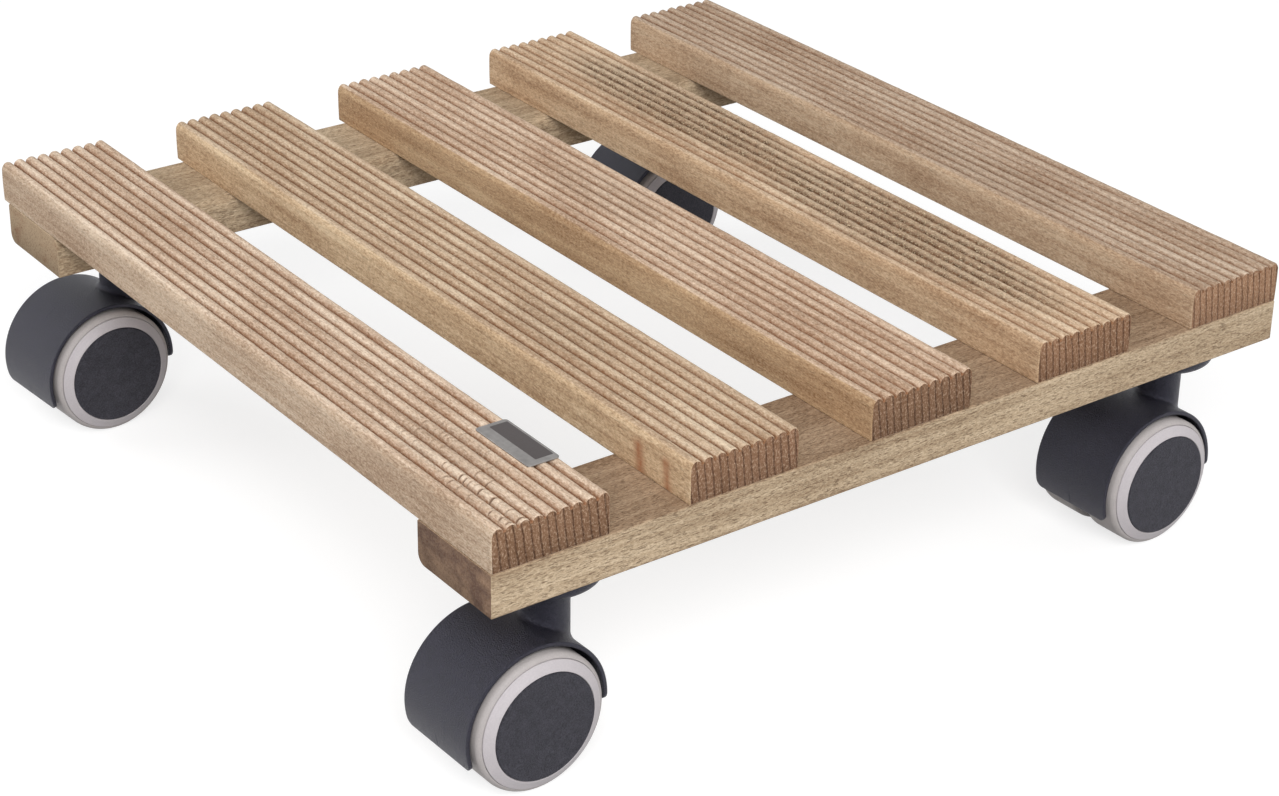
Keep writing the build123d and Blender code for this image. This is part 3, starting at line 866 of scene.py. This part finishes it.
def hood_skin(sizes, axes):
    """The hood: a closed section of the shell's wall carried round the axle. Near both ends
    the section narrows on a circle's arc, so the shell's corners are round. Each point of
    the section has a share of the half width, a bulge past it, a side of the wall (0 outer,
    1 inner), a rise from it and its part in the parting line."""
    middle, forward, sideways, _ = axes
    radius, wall, edge = sizes.hood_radius, sizes.hood_wall, sizes.hood_edge
    corner = sizes.hood_corner
    reach = radius * (sizes.hood_rear - sizes.hood_front)
    # Steps that grow away from the end, where the corner bends most
    near = corner * np.array([0, 0.013, 0.05, 0.11, 0.17, 0.27, 0.4, 0.57, 0.77, 1])
    even = np.linspace(corner, reach - corner, 76)[1:-1]
    s = np.concatenate([near, even, (reach - near)[::-1]])
    d = np.minimum(s, reach - s)
    half = sizes.hood_half - corner + np.sqrt(corner**2 - (corner - np.clip(d, 0, corner)) ** 2)
    inset = (edge - np.sqrt(edge**2 - (edge - np.clip(d, 0, edge)) ** 2)) / 2
    t = sizes.hood_front + s / radius
    shares = np.array([1, 0.97, 0.8, 0.6, 0.4, 0.2, 0.03])
    c = np.radians(np.linspace(90, 0, 5))
    outer = np.outer(-shares, [1, 0, 0, 0, 0])
    seam = np.array([(0, -0.4, 0, 0, 0), (0, 0, 0, 0, 1), (0, 0.4, 0, 0, 0)])
    bend = np.column_stack([c * 0 + 1, np.cos(c), c * 0, 1 - np.sin(c), c * 0])[1:]
    turn_in = [1, 1, 1, -1, 0]
    inner_wall = np.array([0, 0, 1, 0, 0])
    right = np.concatenate([bend, (bend * turn_in + inner_wall)[::-1]])
    inner = np.concatenate([-outer, outer[::-1]]) + inner_wall
    left = right[::-1] * [-1, -1, 1, 1, 1]
    section = np.concatenate([outer, seam, (-outer)[::-1], right, inner, left])
    share, bulge, inside, rise, parting = section.T
    groove = sizes.seam * np.clip(1.8 * wander(5, s, s * 0, 9 * MM, 1.0) - 0.2, 0, 1)
    b = (half[:, None] - edge) * share + edge * bulge
    sink = inset[:, None] + inside * (wall - 2 * inset[:, None]) + edge * rise
    r = radius - sink - groove[:, None] * parting
    spoke = spokes(t, forward)[:, None, :]
    return sweep(middle + r[:, :, None] * spoke + b[:, :, None] * sideways)


def web_skin(sizes, axes):
    """The web between the wheels: a sector of a disc under the hood, with softened edges."""
    middle, forward, sideways, _ = axes
    margin = 0.012
    t = np.linspace(sizes.hood_front + margin, sizes.hood_rear - margin, 60)
    rim = sizes.hood_radius - sizes.hood_wall / 2
    outline = np.concatenate([[[0.0, 0.0]], np.stack([rim * np.cos(t), rim * np.sin(t)], axis=1)])
    levels = [(-1.0, 0.25 * MM), (-0.92, 0.0), (0.92, 0.0), (1.0, 0.25 * MM)]
    rings = []
    for level, inset in levels:
        shape = inwards(outline, inset) if inset else outline
        spoke = shape[:, :1] * forward + shape[:, 1:] * UP
        rings.append(middle + spoke + level * sizes.web_half * sideways)
    return sweep(np.array(rings))


def neck_skin(sizes, axes, top):
    """The neck: a round column that flares into the hood. At a place (a, b) beside the
    swivel axis the hood's height is sqrt(R^2 - a^2), and the flare climbs a quarter circle
    from it. Above it are the column, its rounded top and the pin's bore."""
    middle, forward, sideways, swivel = axes
    trail = float(np.dot(swivel - middle, forward))
    flare, radius, bore, edge = sizes.neck_flare, sizes.neck_radius, sizes.bore_radius, 0.5 * MM
    t = np.linspace(0, 2 * np.pi, 72, endpoint=False)
    c = np.radians(np.linspace(0, 90, 8))
    reach = np.concatenate([[radius + flare + 0.2 * MM], radius + flare * (1 - np.sin(c))])
    rise = np.concatenate([[-0.5 * MM], flare * (1 - np.cos(c))])
    column = np.array(
        [
            (radius, top - 3 * MM),
            (radius, top - edge),
            (radius - 0.3 * edge, top - 0.3 * edge),
            (radius - edge, top),
            (bore + 0.2 * MM, top),
            (bore, top - 0.2 * MM),
            (bore, middle[2] + sizes.hood_radius - sizes.hood_wall),
        ]
    )
    a = trail + reach[:, None] * np.cos(t)
    hood = np.sqrt(sizes.hood_radius**2 - np.minimum(a, 0.95 * sizes.hood_radius) ** 2)
    z = np.concatenate([middle[2] + hood + rise[:, None], column[:, 1:] + 0 * t])
    reach = np.concatenate([reach, column[:, 0]])[:, None]
    a, b = trail + reach * np.cos(t), reach * np.sin(t)
    base = middle * [1, 1, 0]
    return sweep(base + a[:, :, None] * forward + b[:, :, None] * sideways + z[:, :, None] * UP)


def housing(sizes, name, material):
    """Hood, web, axle boss and neck of one castor, one piece."""
    axes = castor_axes(name)
    top = float(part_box(f"{name}_washer")[0][2])
    boss, ease = sizes.boss_radius, 0.4 * MM
    wide = sizes.web_half + 0.05 * MM
    profile = np.array([(-wide, 0), (-wide, boss - ease), (-wide + ease, boss)])
    profile = np.concatenate([profile, profile[::-1] * [-1, 1]])
    skins = [hood_skin(sizes, axes), web_skin(sizes, axes), neck_skin(sizes, axes, top)]
    skins.append(turned(profile, axes[:3], 48))
    body, node_name = f"{name}_castor", f"{name}_housing"
    build(f"{name}_hood", skins, [material], body, node_name, 38)


def core_profile():
    """Hub, disc, rim and coned face of a wheel, as (distance along the axle, radius)."""
    bore, hub, rim, seat = 3.06, 6.5, 20.8, 18.4
    near, far, disc, pocket, ledge, ease = 3.3, 19.3, 10.5, 13.0, 20.9, 0.3
    inside = [(near, bore), (near, hub - ease), (near + ease, hub), (disc - ease, hub)]
    inside += [(disc, hub + ease), (disc, rim - 0.4), (disc - 0.4, rim), (4.5, rim)]
    outside = [(4.3, rim + 0.2), (4.3, 22.5), (19.0, 22.6), (19.3, 23.15), (20.15, 23.25)]
    cone = [(20.4, 23.1), (21.0, 21.9), (21.7, 20.7), (22.12, 19.95), (22.16, 19.75)]
    sunk = [(22.0, 19.62), (ledge, 19.6), (ledge, seat), (pocket, seat), (pocket, hub)]
    end = [(far - ease, hub), (far, hub - ease), (far, bore)]
    return np.array(inside + outside + cone + sunk + end) * MM


def tread_profile(sizes):
    """Soft tread: a nearly flat face with a rounded inner edge and a full outer shoulder."""
    r = sizes.wheel_radius / MM
    inner = arc(5.1, r - 0.8, 0.8, 180, 92, 5)
    face = np.array([(8, r - 0.01), (12, r), (15, r - 0.01), (16.6, r - 0.02)])
    shoulder = arc(17.9, r - 2.22, 2.2, 90, 20, 9)
    back = np.array([(19.95, 23.4), (19.3, 23.3), (19.0, 22.65), (4.3, 22.6)])
    return np.concatenate([inner, face, shoulder, back]) * MM


def cap_profile(sizes):
    """Wheel cap: a flat round face with a rounded edge and a clip skirt behind it."""
    r = sizes.cap_radius / MM
    back, tip, skirt_outer, skirt_inner = 20.9, 17.5, 18.3, 17.0
    face = np.array([(22.42, 0), (22.44, 5), (22.47, 12), (22.5, r - 0.9)])
    rounding = arc(21.9, r - 0.6, 0.6, 0, 90, 6)
    rim = np.array([(20.95, r), (back, r - 0.05), (back, skirt_outer)])
    skirt = np.array([(tip, skirt_outer), (tip, skirt_inner), (back, skirt_inner), (back, 0)])
    return np.concatenate([face, rounding, rim, skirt]) * MM


def wheels(sizes, name, ring, tread, cap):
    """Both wheels of a castor, each as core, tread and cap turned round the axle."""
    middle, forward, sideways, _ = castor_axes(name)
    pieces = (
        ("core", "wheel", core_profile(), ring, "ring_plastic", 30),
        ("tyre", "tread", tread_profile(sizes), tread, "tread_rubber", 40),
        ("disc", "cap", cap_profile(sizes), cap, "cap_plastic", 40),
    )
    for letter, sign in SIDES:
        body = f"{name}_roller_{letter}"
        for piece, cad, profile, material, slot, crease in pieces:
            skin = turned(profile, (middle, forward, sideways * sign))
            node_name = f"{name}_{cad}_{letter}"
            build(f"{name}_{piece}_{letter}", [skin], [material], body, node_name, crease)


def coat_nodes(names, material):
    """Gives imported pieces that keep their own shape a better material."""
    for name in names:
        for place in frame["nodes"][name].material_slots:
            place.material = material


# Operators


class CADDY_OT_slats(bpy.types.Operator):
    """Builds the five reeded slats."""

    bl_idname = "caddy.slats"
    bl_label = "Slats"

    def execute(self, context):
        deck, wood = context.scene.caddy_deck, context.scene.caddy_wood
        tones = [wood.light, wood.middle, wood.dark, wood.fleck_and_shade, wood.groove_shade, wood.torn]
        for number, (top, flank, end_tint) in SLAT_TINTS.items():
            offset = tuple(np.array([0.11, 0.37, 0.05]) * (3 * number - 1))
            tinted = [tuple(np.array(tone) * top) for tone in tones]
            face = long_wood(f"slat_{number}_long", tinted, offset, flank, 0.35)
            ends = [tuple(np.array(tone) * end_tint) for tone in (wood.end, wood.end_line)]
            end = end_wood(f"slat_{number}_end", *ends, wood.fleck_and_shade, wood.middle, offset)
            slat(deck, number, [face, end])
        return {"FINISHED"}


class CADDY_OT_battens(bpy.types.Operator):
    """Builds the front and the back batten."""

    bl_idname = "caddy.battens"
    bl_label = "Battens"

    def execute(self, context):
        deck, wood = context.scene.caddy_deck, context.scene.caddy_wood
        tones = [wood.batten_light, wood.batten_middle, wood.batten_dark]
        tones += [wood.fleck_and_shade, wood.groove_shade, wood.torn]
        ends = {"front": (wood.front_end, wood.blotch), "back": (wood.back_end, wood.end)}
        for number, (side, (top, share)) in enumerate(BATTENS.items()):
            offset = (0.17 + 0.5 * number, 0.59, 0.31)
            # top is the painted shade on the front batten's top between the slats
            face = long_wood(f"batten_{side}_long", tones, offset, top, 0.6, across_y=True)
            end = blotched_end(f"batten_{side}_end", *ends[side], wood.fleck_and_shade, offset, share)
            batten(deck, side, [face, end])
        return {"FINISHED"}


class CADDY_OT_label(bpy.types.Operator):
    """Builds the blank metal label."""

    bl_idname = "caddy.label"
    bl_label = "Label"

    def execute(self, context):
        plastic = context.scene.caddy_plastic
        plate = metal("label_metal", plastic.label, 0.42)
        field = moulded("label_field", plastic.label_field, 0.55, 0.00002, 0.12)
        label(context.scene.caddy_deck, [plate, field])
        return {"FINISHED"}


class CADDY_OT_housings(bpy.types.Operator):
    """Builds the four hoods with their webs and necks, and coats their screw plates."""

    bl_idname = "caddy.housings"
    bl_label = "Housings"

    def execute(self, context):
        plastic = context.scene.caddy_plastic
        material = moulded("hood_plastic", plastic.hood, 0.36, 0.0006, 2.6, 0.5)
        for name in CASTORS:
            housing(context.scene.caddy_castor, name, material)
        coat_nodes([f"{name}_plate" for name in CASTORS], material)
        return {"FINISHED"}


class CADDY_OT_wheels(bpy.types.Operator):
    """Builds the eight wheels."""

    bl_idname = "caddy.wheels"
    bl_label = "Wheels"

    def execute(self, context):
        plastic = context.scene.caddy_plastic
        ring = moulded("ring_plastic", plastic.ring, 0.5, 0.00003, 0.06, 0.4)
        tread = moulded("tread_rubber", plastic.tread, 0.62, 0.00004, 0.08, 0.3)
        cap = moulded("cap_plastic", plastic.cap, 0.6, 0.001, 1.0, 0.3)
        for name in CASTORS:
            wheels(context.scene.caddy_castor, name, ring, tread, cap)
        return {"FINISHED"}


class CADDY_OT_fastenings(bpy.types.Operator):
    """Coats the screws, pins, rings, axles and washers."""

    bl_idname = "caddy.fastenings"
    bl_label = "Fastenings"

    def execute(self, context):
        plastic = context.scene.caddy_plastic
        steel = metal("zinc_steel", plastic.steel, 0.32, (700, 700, 700))
        nylon = moulded("washer_nylon", plastic.nylon, 0.45, 0.00002, 0.05)
        names = ["slat_screws", "castor_screws", "grip_rings"]
        names += [f"{name}_{piece}" for name in CASTORS for piece in ("swivel_pin", "axle")]
        coat_nodes(names, steel)
        coat_nodes([f"{name}_washer" for name in CASTORS], nylon)
        return {"FINISHED"}


class CADDY_OT_stage(bpy.types.Operator):
    """Sets up the floor, the lamps, the even light and the camera."""

    bl_idname = "caddy.stage"
    bl_label = "Stage"

    def execute(self, context):
        scene, stage = context.scene, context.scene.caddy_stage
        floor_stage(scene, stage)
        for name, (place, size) in LAMPS.items():
            lamp(scene, f"{name}_lamp", place, size, getattr(stage, name))
        even_light(scene, stage.sky)
        camera_stage(scene, stage)
        return {"FINISHED"}


def camera_stage(scene, stage):
    """The camera that matches the photo."""
    data = bpy.data.cameras.new("camera")
    data.sensor_fit, data.sensor_width = "HORIZONTAL", 36.0
    data.lens, data.shift_x, data.shift_y = stage.lens, stage.shift_x, stage.shift_y
    data.clip_start, data.clip_end = 0.05, 50.0
    camera = bpy.data.objects.new("camera", data)
    camera.location = stage.camera_place
    camera.rotation_euler = stage.camera_turn
    scene.collection.objects.link(camera)
    scene.camera = camera
    scene.view_settings.view_transform = "Standard"


def camera_like(tree):
    """1 for rays from the camera, mirror rays and rays through glass, otherwise 0."""
    path = node(tree, "LightPath").outputs
    seen = maths(tree, "MAXIMUM", path["Is Camera Ray"], path["Is Glossy Ray"])
    return maths(tree, "MAXIMUM", seen, path["Is Transmission Ray"])


def floor_stage(scene, stage):
    """A wide floor that adds light of its own where it is seen, so that the camera sees it as
    nearly white where no shadow falls."""
    mesh = bpy.data.meshes.new("floor")
    reach = 8.0
    corners = [(-reach, -reach, 0), (reach, -reach, 0), (reach, reach, 0), (-reach, reach, 0)]
    mesh.from_pydata(corners, [], [(0, 1, 2, 3)])
    floor = bpy.data.objects.new("floor", mesh)
    scene.collection.objects.link(floor)
    material = bpy.data.materials.new("floor_paper")
    material.use_nodes = True
    tree = material.node_tree
    tree.nodes.clear()
    paper = node(tree, "BsdfDiffuse", {"Color": rgba(stage.floor)}).outputs[0]
    lift = times(tree, camera_like(tree), stage.floor_lift)
    glow = node(tree, "Emission", {"Color": (1, 1, 1, 1), "Strength": lift}).outputs[0]
    both = node(tree, "AddShader", {0: paper, 1: glow}).outputs[0]
    node(tree, "OutputMaterial", {"Surface": both})
    mesh.materials.append(material)


def lamp(scene, name, place, size, power):
    """A square soft lamp that faces the middle of the caddy."""
    data = bpy.data.lights.new(name, "AREA")
    data.size, data.energy = size, power
    lamp_object = bpy.data.objects.new(name, data)
    lamp_object.location = place
    towards = np.array([0.0, 0.0, 0.05]) - np.array(place)
    lamp_object.rotation_euler = Vector(towards).to_track_quat("-Z", "Y").to_euler()
    scene.collection.objects.link(lamp_object)


def even_light(scene, strength):
    """An even pale sky that the camera and mirror rays see as white."""
    world = bpy.data.worlds.new("sky")
    scene.world = world
    world.use_nodes = True
    tree = world.node_tree
    tree.nodes.clear()
    level = spread(tree, camera_like(tree), 0.0, 1.0, strength, 1.0)
    background = node(tree, "Background", {"Color": (1, 1, 1, 1), "Strength": level}).outputs[0]
    node(tree, "OutputWorld", {"Surface": background})


class CADDY_PT_panel(bpy.types.Panel):
    """Lists the caddy's pieces in the sidebar."""

    bl_idname = "CADDY_PT_panel"
    bl_label = "Plant caddy"
    bl_space_type = "VIEW_3D"
    bl_region_type = "UI"
    bl_category = "Caddy"

    def draw(self, context):
        column = self.layout.column()
        for operator in OPERATORS:
            column.operator(operator.bl_idname)


GROUPS = (
    ("caddy_deck", CaddyDeck),
    ("caddy_wood", CaddyWood),
    ("caddy_castor", CaddyCastor),
    ("caddy_plastic", CaddyPlastic),
    ("caddy_stage", CaddyStage),
)
OPERATORS = (
    CADDY_OT_slats,
    CADDY_OT_battens,
    CADDY_OT_label,
    CADDY_OT_housings,
    CADDY_OT_wheels,
    CADDY_OT_fastenings,
    CADDY_OT_stage,
)


def register():
    """Registers the groups, the operators and the panel."""
    for name, group in GROUPS:
        bpy.utils.register_class(group)
        setattr(bpy.types.Scene, name, PointerProperty(type=group))
    for item in (*OPERATORS, CADDY_PT_panel):
        bpy.utils.register_class(item)


def unregister():
    """Takes the groups, the operators and the panel away again."""
    for item in (CADDY_PT_panel, *reversed(OPERATORS)):
        bpy.utils.unregister_class(item)
    for name, group in reversed(GROUPS):
        delattr(bpy.types.Scene, name)
        bpy.utils.unregister_class(group)


def main():
    """Registers the add-on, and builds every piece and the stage."""
    register()
    for operator in OPERATORS:
        group, name = operator.bl_idname.split(".")
        getattr(getattr(bpy.ops, group), name)()


if __name__ == "__main__":
    main()
